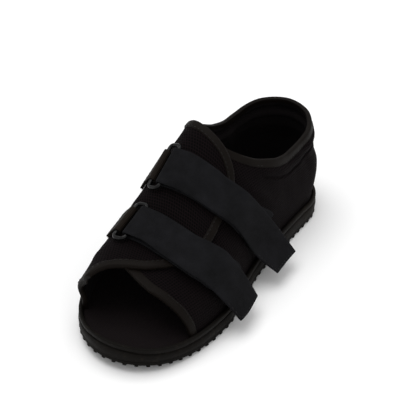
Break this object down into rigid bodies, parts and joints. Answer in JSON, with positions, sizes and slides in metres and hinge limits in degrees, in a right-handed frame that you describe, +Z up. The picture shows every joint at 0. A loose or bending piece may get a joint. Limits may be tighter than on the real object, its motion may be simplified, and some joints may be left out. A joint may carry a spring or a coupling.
{
  "type": "post operative shoe",
  "caption": "Left open-toed wrap shoe for a bandaged foot: rocker sole with a lugged edge, overlapping net fabric flaps and hook-and-loop straps that turn round rings.",
  "frame": {"origin": "on the floor under the middle of the whole shoe's bounding box", "axes": "+Z up, the toe towards -Y, the big-toe side towards -X"},
  "size_m": [0.1244, 0.2854, 0.1164],
  "materials": {
    "outsole": "matte moulded rubber",
    "midsole": "matte moulded foam",
    "insole": "matte woven cover",
    "upper": "matte net fabric with bound edges",
    "strap": "brushed loop pile",
    "ring": "gloss",
    "ring_tab": "woven webbing"
  },
  "bodies": {
    "root": {"outsole": "outsole", "midsole": "midsole", "insole": "insole", "upper": "upper", "strap_front": "strap", "ring_front": "ring", "ring_tab_front": "ring_tab", "strap_rear": "strap", "ring_rear": "ring", "ring_tab_rear": "ring_tab"}
  },
  "joints": []
}
